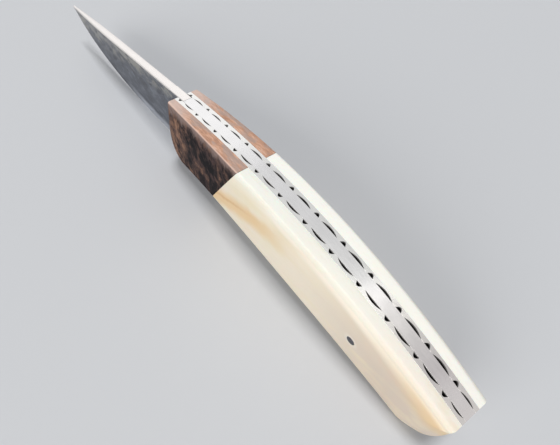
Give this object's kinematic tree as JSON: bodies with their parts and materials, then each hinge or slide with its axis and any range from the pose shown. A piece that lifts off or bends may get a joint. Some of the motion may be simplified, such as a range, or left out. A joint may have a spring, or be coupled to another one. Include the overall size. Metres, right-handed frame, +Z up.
{
  "type": "folding pocket knife",
  "caption": "Slip-joint folding pocket knife, open: ground blade, backspring, fileworked steel liners, burl wood bolsters and cream scales.",
  "frame": {"origin": "middle of the bounding box's bottom: the knife is open and stands spine up on its blade edge and the lower rear corner of its handle", "axes": "+X from the handle towards the blade's tip, +Y to the knife's left side, +Z up, towards the spine"},
  "size_m": [0.2102, 0.015, 0.0287],
  "materials": {
    "blade_steel": "etched dark flats, polished spine and edge bevel",
    "spring_steel": "satin, brushed lengthwise",
    "liner_steel": "satin with filework",
    "burl_wood": "oiled dark burl, lighter on the end grain along the spine",
    "ivory": "polished cream bone-like slab with faint tan streaks",
    "pin_steel": "dark, ground flush",
    "bronze": "plain sheet"
  },
  "bodies": {
    "handle": {"backspring": "spring_steel", "liner_left": "liner_steel", "bolster_left": "burl_wood", "scale_left": "ivory", "pivot_washer_left": "bronze", "scale_pin_left": "pin_steel", "bolster_pin_left_front": "pin_steel", "bolster_pin_left_rear": "pin_steel", "liner_right": "liner_steel", "bolster_right": "burl_wood", "scale_right": "ivory", "pivot_washer_right": "bronze", "scale_pin_right": "pin_steel", "bolster_pin_right_front": "pin_steel", "bolster_pin_right_rear": "pin_steel", "pivot_pin": "pin_steel", "spring_center_pin": "pin_steel", "spring_rear_pin": "pin_steel"},
    "blade": {"blade": "blade_steel"}
  },
  "joints": [
    {"name": "blade_fold", "type": "hinge", "parent": "handle", "child": "blade", "pos_m": [0.00213, 0, 0.01368], "axis": [0, 1, 0], "range_deg": [0, 174], "deforming": ["backspring"]}
  ]
}
